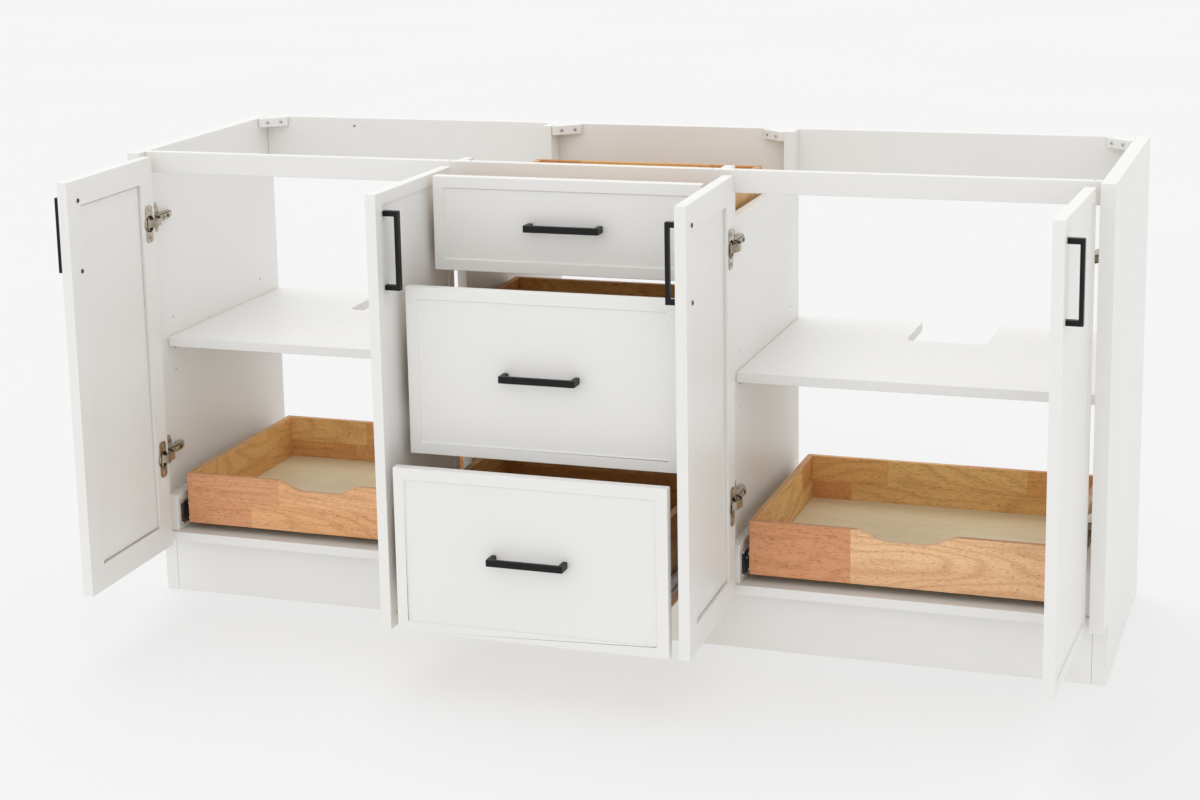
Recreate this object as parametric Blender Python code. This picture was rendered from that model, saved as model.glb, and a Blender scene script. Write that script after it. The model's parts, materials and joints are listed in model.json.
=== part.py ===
"""Open-back bathroom vanity cabinet: three bays, four overlay-look inset doors,
three stacked drawers in the centre bay and a pull-out tray in each side bay.

Metres, +Z up.  The cabinet is laid out in its own case frame: x = 0 at mid width,
y = 0 at the front edges of the side panels with +y towards the wall, z = 0 on the floor.
One empty, "cabinet", carries everything and puts the origin at the centre of the
toe-kick board's underside.

The doors are modelled shut and turned open about their hinge axes, each by its own
parent empty; the drawers and trays are modelled shut and slid out by theirs.
"""
import bpy
import bmesh
import math
from mathutils import Vector

# ---------------------------------------------------------------- overall sizes
WIDTH = 1.829
DEPTH = 0.560
HEIGHT = 0.885
GAP = 0.0003                 # clearance between pieces that touch
REVEAL = 0.0015              # clearance round each front, per side

# ---------------------------------------------------------------- boards
SIDE_T = 0.025               # side panels
BOARD_T = 0.018              # every other board
TOE_D = 0.059                # toe space: depth and height of the notch
TOE_H = 0.1135
DECK_TOP = TOE_H + BOARD_T
FRONT_IN = 0.024             # front edges of deck, dividers and front rail
REAR_IN = DEPTH - BOARD_T    # front face of the back rails
INNER = WIDTH / 2 - SIDE_T   # inner faces of the side panels

RAIL_FRONT_H = 0.040         # front top rail
RAIL_BACK_H = 0.100          # back top rail
RAIL_LOW_TOP = DECK_TOP + 0.0395   # top of the back bottom rail

DIV_X = 0.2465               # dividers, centre to mid width
DIV_IN = DIV_X - BOARD_T / 2     # a divider's face on the centre bay
DIV_OUT = DIV_X + BOARD_T / 2    # and on the side bay
EAR_FRONT_Y = 0.074          # back edge of the front ear
EAR_REAR_Y = DEPTH - 0.063   # front edge of the rear ear
NOTCH_Z = HEIGHT - 0.093     # bottom of the notch between the ears
NOTCH_R = 0.006              # inner corners of the notch

SHELF_TOP = 0.5125
SHELF_Y0 = FRONT_IN + 0.046
SHELF_Y1 = DEPTH - 0.005
SHELF_END = 0.0006           # free play at each end of a shelf
CUT_W = 0.150                # pipe cut-out in a shelf's back edge
CUT_D = 0.165
CUT_R = 0.020

PIN_Y = (SHELF_Y0 + 0.027, SHELF_Y1 - 0.079)       # shelf-pin holes
PIN_Z = (SHELF_TOP - 0.070, SHELF_TOP - BOARD_T - 0.005, SHELF_TOP + 0.035)
PIN_R = 0.0025
PIN_DEPTH = 0.009

SPACER_TOP = DECK_TOP + 0.0735   # boards that carry the tray slides
SPACER_Y0 = FRONT_IN + 0.006
SPACER_DIV_T = 0.0157
SPACER_SIDE_T = 0.0245
SPACER_HOLE_Y = REAR_IN - 0.038
SPACER_HOLE_Z = SPACER_TOP - 0.037
SPACER_HOLE_R = 0.004

# ---------------------------------------------------------------- doors
DOOR_T = 0.019
DOOR_Z0 = TOE_H - 0.0005
DOOR_Z1 = HEIGHT - 0.006
SIDE_GAP = 0.002             # door edge to side panel
DIV_EDGE = DIV_X + REVEAL    # hinge edge of the inner doors, from mid width
DOOR_W = (INNER - SIDE_GAP - DIV_EDGE) / 2 - REVEAL
FACE_FRAME = 0.021           # frame round the sunk panel, outer face
BACK_FRAME = 0.047           # the same, inner face
PANEL_SINK = 0.003           # depth of the sunk panel, outer face
BACK_SINK = 0.0055           # the same, inner face
PIVOT_OUT = 0.00175          # hinge axis in front of the door's outer face
PIVOT_IN = 0.00275           # hinge axis in from the door's edge
DOOR_OPEN = 88.5             # degrees

# ---------------------------------------------------------------- hinges
HINGE_Z = (DOOR_Z0 + 0.179, DOOR_Z1 - 0.125)
CUP_EDGE = 0.0225            # cup centre from the door's edge
CUP_R = 0.0175
CUP_DEPTH = 0.0125
CUP_WALL = 0.0012
CUP_PLATE_L = 0.070
CUP_PLATE_W = 0.025
CUP_PLATE_T = 0.0018
ARM_Y0 = 0.0245
ARM_Y1 = 0.098
ARM_W = 0.011                # arm, top to bottom
ARM_OUT = 0.015              # arm's face from the board
WING_H = 0.056               # mounting plate wings
WING_T = 0.0025
WING_Y0 = 0.034
WING_Y1 = 0.058

# ---------------------------------------------------------------- drawers
FRONT_W = 2 * (DIV_X - REVEAL)
FRONT_T = DOOR_T
TOP_FRONT_H = 0.168
LOW_FRONT_H = (DOOR_Z1 - DOOR_Z0 - TOP_FRONT_H - 4 * REVEAL) / 2
TOP_FRONT_Z = DOOR_Z1 - TOP_FRONT_H
MID_FRONT_Z = DOOR_Z0 + LOW_FRONT_H + 2 * REVEAL
TOP_BOX_UP = 0.010           # box above the lower edge of its front
LOW_BOX_UP = 0.061
LOW_BOX_H = 0.158
TOP_BOX_Z1 = HEIGHT - RAIL_FRONT_H - 0.008
DRAWERS = (                  # name, front z0, front z1, box z0, box z1, out at rest
    ("top", TOP_FRONT_Z, DOOR_Z1, TOP_FRONT_Z + TOP_BOX_UP, TOP_BOX_Z1, 0.105),
    ("middle", MID_FRONT_Z, MID_FRONT_Z + LOW_FRONT_H, MID_FRONT_Z + LOW_BOX_UP, MID_FRONT_Z + LOW_BOX_UP + LOW_BOX_H, 0.242),
    ("bottom", DOOR_Z0, DOOR_Z0 + LOW_FRONT_H, DOOR_Z0 + LOW_BOX_UP, DOOR_Z0 + LOW_BOX_UP + LOW_BOX_H, 0.323),
)
SLIDE_SPACE = 0.0127         # room for a slide between a board and a box
BOX_HALF = DIV_IN - SLIDE_SPACE    # outside of a drawer box from mid width
BOX_Y1 = REAR_IN - 0.057
WALL_T = 0.012
FLOOR_T = 0.006
FLOOR_UP = 0.010             # underside of the floor above the sides' bottom edges

# ---------------------------------------------------------------- trays
TRAY_SPACE = 0.0125          # the same as SLIDE_SPACE, on a tray's inner side
TRAY_X0 = DIV_OUT + GAP + SPACER_DIV_T + TRAY_SPACE
TRAY_X1 = INNER - GAP - SPACER_SIDE_T - SLIDE_SPACE
TRAY_Y0 = FRONT_IN + 0.024
TRAY_LEN = REAR_IN - 0.039 - TRAY_Y0
TRAY_Z0 = DECK_TOP + 0.0135
TRAY_Z1 = TRAY_Z0 + 0.101
SCOOP_W = 0.184              # finger scoop in the tray's front
SCOOP_D = 0.019

# ---------------------------------------------------------------- slides
SLIDE_H = 0.045
SLIDE_T = 0.006
SLIDE_Y0 = SPACER_Y0
SLIDE_LEN = REAR_IN - 0.055 - SLIDE_Y0
SLIDE_LIP = 0.0035           # rolled lips that hold the inner member
SLIDE_WEB = 0.0016
SLIDE_UP = 0.044             # slide centre above the box's lower edge
TRAY_SLIDE_Z = SPACER_HOLE_Z

# ---------------------------------------------------------------- pulls
PULL_L = 0.137
PULL_W = 0.012
PULL_BAR = 0.007
PULL_FOOT = 0.009
PULL_OUT = 0.028
PULL_EDGE = 0.037            # pull centre from the door's free edge
PULL_DOOR_Z = DOOR_Z1 - 0.101
PULL_BEVEL = 0.0006


# ---------------------------------------------------------------- scene reset
for old in list(bpy.data.objects):
    bpy.data.objects.remove(old, do_unlink=True)


# ---------------------------------------------------------------- materials
def material(name, colour, roughness, metallic=0.0):
    mat = bpy.data.materials.new(name)
    mat.use_nodes = True
    bsdf = mat.node_tree.nodes["Principled BSDF"]
    bsdf.inputs["Base Color"].default_value = (*colour, 1.0)
    bsdf.inputs["Roughness"].default_value = roughness
    bsdf.inputs["Metallic"].default_value = metallic
    return mat


WHITE = material("white_paint", (0.80, 0.79, 0.77), 0.38)
OAK = material("rubberwood", (0.52, 0.24, 0.09), 0.42)
BLACK = material("black_metal", (0.012, 0.012, 0.013), 0.45, 0.6)
NICKEL = material("nickel", (0.62, 0.60, 0.57), 0.28, 1.0)
ZINC = material("zinc_steel", (0.55, 0.55, 0.54), 0.34, 1.0)


# ---------------------------------------------------------------- helpers
def empty(name, location, parent=None, turn=0.0):
    node = bpy.data.objects.new(name, None)
    bpy.context.collection.objects.link(node)
    node.location = location
    node.rotation_euler = (0.0, 0.0, math.radians(turn))
    node.parent = parent
    return node


def place(name, mesh, mat, parent, location=(0.0, 0.0, 0.0), rotation=(0.0, 0.0, 0.0)):
    obj = bpy.data.objects.new(name, mesh)
    bpy.context.collection.objects.link(obj)
    obj.parent = parent
    obj.location = location
    obj.rotation_euler = rotation
    if not mesh.materials:
        mesh.materials.append(mat)
    return obj


def box_mesh(name, lo, hi):
    """Axis-aligned box between two corners."""
    bm = bmesh.new()
    bmesh.ops.create_cube(bm, size=1.0)
    lo, hi = Vector(lo), Vector(hi)
    size, mid = hi - lo, (hi + lo) / 2
    for v in bm.verts:
        v.co = Vector((v.co.x * size.x, v.co.y * size.y, v.co.z * size.z)) + mid
    mesh = bpy.data.meshes.new(name)
    bm.to_mesh(mesh)
    bm.free()
    return mesh


def prism_mesh(name, outline, axis, lo, hi):
    """A flat outline pushed along an axis from lo to hi.

    The outline's two numbers are the other two axes in x, y, z order.
    """
    bm = bmesh.new()

    def point(a, b, t):
        if axis == "x":
            return (t, a, b)
        if axis == "y":
            return (a, t, b)
        return (a, b, t)

    ring = [bm.verts.new(point(a, b, lo)) for a, b in outline]
    face = bm.faces.new(ring)
    made = bmesh.ops.extrude_face_region(bm, geom=[face])
    push = Vector(point(0.0, 0.0, hi - lo))
    bmesh.ops.translate(bm, vec=push, verts=[g for g in made["geom"] if isinstance(g, bmesh.types.BMVert)])
    bmesh.ops.recalc_face_normals(bm, faces=bm.faces)
    mesh = bpy.data.meshes.new(name)
    bm.to_mesh(mesh)
    bm.free()
    return mesh


def cylinder_mesh(name, radius, axis, centre, lo, hi, sides=32):
    outline = [(centre[0] + radius * math.cos(2 * math.pi * k / sides),
                centre[1] + radius * math.sin(2 * math.pi * k / sides)) for k in range(sides)]
    return prism_mesh(name, outline, axis, lo, hi)


def arc(cx, cy, radius, start, end, steps=6):
    return [(cx + radius * math.cos(math.radians(start + (end - start) * k / steps)),
             cy + radius * math.sin(math.radians(start + (end - start) * k / steps)))
            for k in range(steps + 1)]


def cut(obj, mesh, tag):
    """Take a cutter's shape out of an object; the cutter moves with it."""
    tool = bpy.data.objects.new(obj.name + "_cut_" + tag, mesh)
    bpy.context.collection.objects.link(tool)
    tool.parent = obj
    tool.hide_render = True
    tool.display_type = "WIRE"
    mod = obj.modifiers.new("cut_" + tag, "BOOLEAN")
    mod.operation = "DIFFERENCE"
    mod.solver = "EXACT"
    mod.object = tool


def round_off(obj, width, segments=1):
    mod = obj.modifiers.new("edge", "BEVEL")
    mod.width = width
    mod.segments = segments
    mod.limit_method = "ANGLE"
    mod.angle_limit = math.radians(40)


# ---------------------------------------------------------------- case
ROOT = empty("cabinet", (0.0, -(TOE_D + BOARD_T / 2), 0.0))


def pin_holes(obj, x_lo, x_hi):
    for i, y in enumerate(PIN_Y):
        for j, z in enumerate(PIN_Z):
            cut(obj, cylinder_mesh("pin", PIN_R, "x", (y, z), x_lo, x_hi, 12), "pin%d%d" % (i, j))


side_outline = [(TOE_D, 0.0), (DEPTH, 0.0), (DEPTH, HEIGHT), (0.0, HEIGHT), (0.0, TOE_H), (TOE_D, TOE_H)]
for name, s in (("left", -1), ("right", 1)):
    lo, hi = sorted((s * INNER, s * WIDTH / 2))
    panel = place("side_panel_" + name, prism_mesh("side_panel", side_outline, "x", lo, hi), WHITE, ROOT)
    a, b = sorted((s * (INNER - 0.001), s * (INNER + PIN_DEPTH)))
    pin_holes(panel, a, b)

y_top = REAR_IN - GAP
div_outline = (
    [(FRONT_IN, DECK_TOP + GAP), (y_top, DECK_TOP + GAP), (y_top, HEIGHT), (EAR_REAR_Y, HEIGHT)]
    + [(a, b) for a, b in arc(EAR_REAR_Y - NOTCH_R, NOTCH_Z + NOTCH_R, NOTCH_R, 0, -90)]
    + [(a, b) for a, b in arc(EAR_FRONT_Y + NOTCH_R, NOTCH_Z + NOTCH_R, NOTCH_R, -90, -180)]
    + [(EAR_FRONT_Y, HEIGHT),
       (FRONT_IN + BOARD_T + GAP, HEIGHT),
       (FRONT_IN + BOARD_T + GAP, HEIGHT - RAIL_FRONT_H - GAP),
       (FRONT_IN, HEIGHT - RAIL_FRONT_H - GAP)]
)
for name, s in (("left", -1), ("right", 1)):
    lo, hi = sorted((s * (DIV_X - BOARD_T / 2), s * (DIV_X + BOARD_T / 2)))
    board = place("divider_" + name, prism_mesh("divider", div_outline, "x", lo, hi), WHITE, ROOT)
    face = DIV_X + BOARD_T / 2
    a, b = sorted((s * (face + 0.001), s * (face - PIN_DEPTH)))
    pin_holes(board, a, b)

x_in = INNER - GAP
place("deck_panel", box_mesh("deck", (-x_in, FRONT_IN, TOE_H), (x_in, DEPTH, DECK_TOP)), WHITE, ROOT)
place("toe_kick_board", box_mesh("toe_kick", (-x_in, TOE_D, 0.0), (x_in, TOE_D + BOARD_T, TOE_H - GAP)), WHITE, ROOT)
place("front_top_rail",
      box_mesh("front_rail", (-x_in, FRONT_IN, HEIGHT - RAIL_FRONT_H), (x_in, FRONT_IN + BOARD_T, HEIGHT)), WHITE, ROOT)
place("back_top_rail",
      box_mesh("back_rail", (-x_in, REAR_IN, HEIGHT - RAIL_BACK_H), (x_in, DEPTH, HEIGHT)), WHITE, ROOT)
place("back_bottom_rail",
      box_mesh("low_rail", (-x_in, REAR_IN, DECK_TOP + GAP), (x_in, DEPTH, RAIL_LOW_TOP)), WHITE, ROOT)

# shelves, with a pipe cut-out in the back edge
div_face = DIV_OUT
cut_mid = (DIV_OUT + INNER) / 2
for name, s in (("left", -1), ("right", 1)):
    x0, x1 = div_face + SHELF_END, INNER - SHELF_END
    c0, c1 = cut_mid - CUT_W / 2, cut_mid + CUT_W / 2
    deep = SHELF_Y1 - CUT_D
    outline = ([(x0, SHELF_Y0), (x1, SHELF_Y0), (x1, SHELF_Y1), (c1, SHELF_Y1)]
               + arc(c1 - CUT_R, deep + CUT_R, CUT_R, 0, -90)
               + arc(c0 + CUT_R, deep + CUT_R, CUT_R, -90, -180)
               + [(c0, SHELF_Y1), (x0, SHELF_Y1)])
    outline = [(s * a, b) for a, b in outline]
    place("shelf_" + name, prism_mesh("shelf", outline, "z", SHELF_TOP - BOARD_T, SHELF_TOP), WHITE, ROOT)

# boards on the deck that carry the tray slides
for name, s in (("left", -1), ("right", 1)):
    for where, face, thick, turn in (("inner", div_face, SPACER_DIV_T, 1), ("outer", INNER, SPACER_SIDE_T, -1)):
        a, b = sorted((s * (face + turn * GAP), s * (face + turn * (GAP + thick))))
        board = place("tray_board_%s_%s" % (name, where),
                      box_mesh("tray_board", (a, SPACER_Y0, DECK_TOP + GAP), (b, REAR_IN - GAP, SPACER_TOP)),
                      WHITE, ROOT)
        cut(board, cylinder_mesh("hole", SPACER_HOLE_R, "x", (SPACER_HOLE_Y, SPACER_HOLE_Z), a - 0.01, b + 0.01, 20),
            "hole")


# ---------------------------------------------------------------- slides
def slide_mesh(face, out, y0, zc):
    """Fixed member of a ball-bearing slide: a web on the board with two rolled lips."""
    h = SLIDE_H / 2
    a, b, c = face, face + out * SLIDE_WEB, face + out * SLIDE_T
    outline = [(a, zc - h), (c, zc - h), (c, zc - h + SLIDE_LIP), (b, zc - h + SLIDE_LIP),
               (b, zc + h - SLIDE_LIP), (c, zc + h - SLIDE_LIP), (c, zc + h), (a, zc + h)]
    return prism_mesh("slide", outline, "y", y0, y0 + SLIDE_LEN)


for name, s in (("left", -1), ("right", 1)):
    for label, f0, f1, b0, b1, out in DRAWERS:
        place("slide_%s_%s" % (label, name),
              slide_mesh(s * (DIV_IN - GAP), -s, SLIDE_Y0, b0 + SLIDE_UP), ZINC, ROOT)
    inner = div_face + GAP + SPACER_DIV_T + GAP
    outer = INNER - GAP - SPACER_SIDE_T - GAP
    place("slide_tray_%s_inner" % name, slide_mesh(s * inner, s, SLIDE_Y0 + 0.006, TRAY_SLIDE_Z), ZINC, ROOT)
    place("slide_tray_%s_outer" % name, slide_mesh(s * outer, -s, SLIDE_Y0 + 0.006, TRAY_SLIDE_Z), ZINC, ROOT)


# ---------------------------------------------------------------- pulls
def pull_mesh():
    """Square bar with two square feet, standing on z = 0 and running along x."""
    h, f, t = PULL_L / 2, PULL_FOOT, PULL_OUT - PULL_BAR
    outline = [(-h, 0.0), (-h + f, 0.0), (-h + f, t), (h - f, t), (h - f, 0.0), (h, 0.0), (h, PULL_OUT), (-h, PULL_OUT)]
    return prism_mesh("pull", outline, "y", -PULL_W / 2, PULL_W / 2)


PULL = pull_mesh()


def pull(name, parent, location, rotation):
    obj = place(name, PULL, BLACK, parent, location, rotation)
    round_off(obj, PULL_BEVEL)
    return obj


# ---------------------------------------------------------------- doors
def hinge_cup_mesh():
    """Cup and its screw plate; the plate's back is at y = 0 and the cup goes to -y."""
    outer = cylinder_mesh("cup", CUP_R - GAP, "y", (0.0, 0.0), -(CUP_DEPTH - GAP), CUP_PLATE_T)
    return outer


def arm_mesh():
    """Hinge arm on its mounting plate: x runs off the board, y into the cabinet."""
    half = ARM_W / 2
    side = [(0.0, WING_Y0), (0.0, ARM_Y1), (ARM_OUT * 0.55, ARM_Y1), (ARM_OUT, ARM_Y1 - 0.020),
            (ARM_OUT, ARM_Y0 + 0.006), (ARM_OUT - 0.003, ARM_Y0), (ARM_OUT - 0.006, ARM_Y0),
            (ARM_OUT - 0.006, WING_Y0 - 0.004)]
    return prism_mesh("arm", side, "z", -half, half)


def wing_mesh():
    half = WING_H / 2
    mid = (WING_Y0 + WING_Y1) / 2
    outline = ([(mid + 0.006, -half), (WING_Y1, -half + 0.012), (WING_Y1, half - 0.012), (mid + 0.006, half)]
               + [(mid - 0.006, half), (WING_Y0, half - 0.012), (WING_Y0, -half + 0.012), (mid - 0.006, -half)])
    return prism_mesh("wing", outline, "x", 0.0, WING_T)


def join(obj, mesh, tag):
    """Fuse a second shape onto an object."""
    tool = bpy.data.objects.new(obj.name + "_add_" + tag, mesh)
    bpy.context.collection.objects.link(tool)
    tool.parent = obj
    tool.hide_render = True
    tool.display_type = "WIRE"
    mod = obj.modifiers.new("add_" + tag, "BOOLEAN")
    mod.operation = "UNION"
    mod.solver = "EXACT"
    mod.object = tool


# name, hinge edge x when shut, +1 when the leaf runs towards +x from its hinges
DOORS = (
    ("far_left", -(INNER - SIDE_GAP), 1),
    ("centre_left", -DIV_EDGE, -1),
    ("centre_right", DIV_EDGE, 1),
    ("far_right", INNER - SIDE_GAP, -1),
)
for name, edge, s in DOORS:
    pivot = (edge + s * PIVOT_IN, -PIVOT_OUT, 0.0)
    hub = empty("hinge_axis_" + name, pivot, ROOT, turn=-s * DOOR_OPEN)

    # the leaf, shut, seen from the pivot: x from the hinge edge, y from the outer face
    x0, x1 = sorted((-s * PIVOT_IN, s * (DOOR_W - PIVOT_IN)))
    y0, y1 = PIVOT_OUT, PIVOT_OUT + DOOR_T
    leaf = place("door_" + name, box_mesh("leaf", (x0, y0, DOOR_Z0), (x1, y1, DOOR_Z1)), WHITE, hub)
    f, b = FACE_FRAME, BACK_FRAME
    cut(leaf, box_mesh("sink", (x0 + f, y0 - 0.01, DOOR_Z0 + f), (x1 - f, y0 + PANEL_SINK, DOOR_Z1 - f)), "face")
    cut(leaf, box_mesh("sink", (x0 + b, y1 - BACK_SINK, DOOR_Z0 + b), (x1 - b, y1 + 0.01, DOOR_Z1 - b)), "back")
    cup_x = s * (CUP_EDGE - PIVOT_IN)
    for k, z in enumerate(HINGE_Z):
        cut(leaf, cylinder_mesh("bore", CUP_R, "y", (cup_x, z), y1 - CUP_DEPTH, y1 + 0.01), "bore%d" % k)

    # cups, let into the inner face
    for k, z in enumerate(HINGE_Z):
        label = ("lower", "upper")[k]
        cup = place("hinge_cup_%s_%s" % (name, label), hinge_cup_mesh(), NICKEL, hub, (cup_x, y1, z))
        w, l = CUP_PLATE_W / 2, CUP_PLATE_L / 2
        near, far = w, w
        c = 0.005
        plate = [(-near, -l + c), (-near + c, -l), (far - c, -l), (far, -l + c),
                 (far, l - c), (far - c, l), (-near + c, l), (-near, l - c)]
        plate = [(s * a, q) for a, q in plate]
        join(cup, prism_mesh("plate", plate, "y", GAP, CUP_PLATE_T), "plate")
        cut(cup, cylinder_mesh("hollow", CUP_R - CUP_WALL, "y", (0.0, 0.0), -(CUP_DEPTH - CUP_WALL), 0.01), "hollow")

        # arm on the board behind the hinge edge
        x_board = (-INNER if name == "far_left" else INNER if name == "far_right"
                   else -div_face if name == "centre_left" else div_face)
        arm = place("hinge_arm_%s_%s" % (name, label), arm_mesh(), NICKEL, ROOT, (x_board + s * GAP, 0.0, z))
        if s < 0:
            flipped = arm.data
            for v in flipped.vertices:
                v.co.x = -v.co.x
            flipped.flip_normals()
        wings = wing_mesh()
        if s < 0:
            for v in wings.vertices:
                v.co.x = -v.co.x
            wings.flip_normals()
        join(arm, wings, "wings")

    # pull near the free edge, upright, standing on the sunk panel
    pull("pull_door_" + name, hub,
         (s * (DOOR_W - PIVOT_IN - PULL_EDGE), y0 + PANEL_SINK - GAP, PULL_DOOR_Z),
         (math.radians(90), math.radians(90), 0.0))


# ---------------------------------------------------------------- drawers and trays
def tub(name, parent, x0, x1, y0, y1, z0, z1):
    """Open box: four walls and a thin floor set up between them."""
    body = place(name, box_mesh("tub", (x0, y0, z0), (x1, y1, z1)), OAK, parent)
    t = WALL_T
    cut(body, box_mesh("room", (x0 + t, y0 + t, z0 + FLOOR_UP + FLOOR_T), (x1 - t, y1 - t, z1 + 0.01)), "room")
    cut(body, box_mesh("under", (x0 + t, y0 + t, z0 - 0.01), (x1 - t, y1 - t, z0 + FLOOR_UP)), "under")
    return body


for label, f0, f1, b0, b1, out in DRAWERS:
    carriage = empty("runner_drawer_" + label, (0.0, -out, 0.0), ROOT)
    h = FRONT_W / 2
    front = place("drawer_front_" + label, box_mesh("front", (-h, 0.0, f0), (h, FRONT_T, f1)), WHITE, carriage)
    f = FACE_FRAME
    cut(front, box_mesh("sink", (-h + f, -0.01, f0 + f), (h - f, PANEL_SINK, f1 - f)), "face")
    tub("drawer_box_" + label, carriage, -BOX_HALF, BOX_HALF, FRONT_T + GAP, BOX_Y1, b0, b1)
    # the pull stands on the sunk panel
    pull("pull_drawer_" + label, carriage, (0.0, PANEL_SINK - GAP, (f0 + f1) / 2), (math.radians(90), 0.0, 0.0))

for name, s in (("left", -1), ("right", 1)):
    carriage = empty("runner_tray_" + name, (0.0, 0.0, 0.0), ROOT)
    x0, x1 = sorted((s * TRAY_X0, s * TRAY_X1))
    tray = tub("tray_" + name, carriage, x0, x1, TRAY_Y0, TRAY_Y0 + TRAY_LEN, TRAY_Z0, TRAY_Z1)
    mid = (x0 + x1) / 2
    steps = 16
    dip = []
    for k in range(steps + 1):
        u = -1 + 2 * k / steps
        dip.append((mid + u * SCOOP_W / 2, TRAY_Z1 - SCOOP_D * (0.5 + 0.5 * math.cos(math.pi * u)) ** 0.8))
    dip = [(a, b) for a, b in dip if b < TRAY_Z1 - 0.0002]
    dip = [(mid - SCOOP_W / 2, TRAY_Z1 + 0.01)] + [(mid - SCOOP_W / 2, TRAY_Z1 + 0.0004)] + dip \
        + [(mid + SCOOP_W / 2, TRAY_Z1 + 0.0004), (mid + SCOOP_W / 2, TRAY_Z1 + 0.01)]
    cut(tray, prism_mesh("scoop", dip, "y", TRAY_Y0 - 0.01, TRAY_Y0 + WALL_T + 0.002), "scoop")
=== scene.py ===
"""Looks of the bathroom vanity cabinet: painted boards, framed door leaves, finger-jointed
wooden drawers and pull-out trays, cup hinges, ball-bearing slides and black bar pulls."""
import json
import math

import bmesh
import bpy
from mathutils import Matrix, Vector


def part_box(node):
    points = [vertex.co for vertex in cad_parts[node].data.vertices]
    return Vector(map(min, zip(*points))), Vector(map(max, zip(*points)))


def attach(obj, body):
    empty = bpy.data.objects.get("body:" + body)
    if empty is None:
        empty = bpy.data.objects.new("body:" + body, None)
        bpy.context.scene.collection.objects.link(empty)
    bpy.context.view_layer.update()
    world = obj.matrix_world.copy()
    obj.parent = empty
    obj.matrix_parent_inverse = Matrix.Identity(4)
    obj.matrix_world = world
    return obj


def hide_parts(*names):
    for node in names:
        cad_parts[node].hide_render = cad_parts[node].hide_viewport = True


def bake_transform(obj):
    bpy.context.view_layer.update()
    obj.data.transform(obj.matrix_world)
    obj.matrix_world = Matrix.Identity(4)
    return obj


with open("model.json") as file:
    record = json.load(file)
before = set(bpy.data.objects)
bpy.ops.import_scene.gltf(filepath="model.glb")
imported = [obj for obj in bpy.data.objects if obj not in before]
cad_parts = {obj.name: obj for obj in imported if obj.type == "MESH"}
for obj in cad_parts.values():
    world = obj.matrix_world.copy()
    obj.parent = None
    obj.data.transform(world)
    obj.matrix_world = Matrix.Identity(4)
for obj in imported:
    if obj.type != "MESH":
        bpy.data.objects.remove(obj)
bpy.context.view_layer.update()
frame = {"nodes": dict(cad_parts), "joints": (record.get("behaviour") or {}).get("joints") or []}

# ---------------------------------------------------------------- sizes read from the frame
SIDE_LO, SIDE_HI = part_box("side_panel_right")
FRONT_Y = SIDE_LO.y                       # front edges of the side panels
INNER_X = SIDE_LO.x                       # inner face of the right side panel
TOP_Z = SIDE_HI.z
FLOOR_Z = SIDE_LO.z
DIV_LO, DIV_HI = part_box("divider_right")
BACK_RAIL_LO, BACK_RAIL_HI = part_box("back_top_rail")

# ---------------------------------------------------------------- sizes shared with the solids
WALL = 0.012                              # walls of drawer boxes and trays
FLOOR_UP = 0.010                          # their floors above the walls' lower edges
FLOOR_THICK = 0.006
DOOR_ANGLE = math.radians(88.5)
DOOR_THICK = 0.019
DOOR_WIDTH = 0.31825
PIVOT_OUT = 0.00175                       # hinge axis in front of the leaf
PIVOT_IN = 0.00275                        # and in from its hinge edge
INNER_FACE = PIVOT_OUT + DOOR_THICK       # shut leaf's inner face behind the hinge axis
BACK_FRAME = 0.047                        # frame round the sunk panel, inner face
BACK_SINK = 0.0055
PULL_EDGE = 0.037                         # pull's posts in from the free edge
PULL_POSTS = 0.128
CUP_EDGE = 0.0225                         # cup's centre in from the hinge edge

# ---------------------------------------------------------------- sizes of the fittings
BOARD_EASE = 0.0009
GROOVE_W, GROOVE_D = 0.0028, 0.0055
BUTT_GAP = 0.0002                         # hairline between the boards of a box
DRAWER_MEMBER = 0.0052                    # depth of the slide member on a drawer
TRAY_MEMBER = 0.0027                      # thin enough to pass the open leaves, which lean into the bay
PLATE_FACE = INNER_FACE + 0.0018          # face of the cup's screw plate
LUG_THICK = 0.003
CHEEK_THICK = 0.0012
LINK_THICK = 0.0018

SIDES = (("left", -1), ("right", 1))
LEVELS = ("top", "middle", "bottom")
DOORS = {                                 # body tail: direction from hinges to free edge
    "far_left": 1, "centre_left": -1, "centre_right": 1, "far_right": -1,
}


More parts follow.
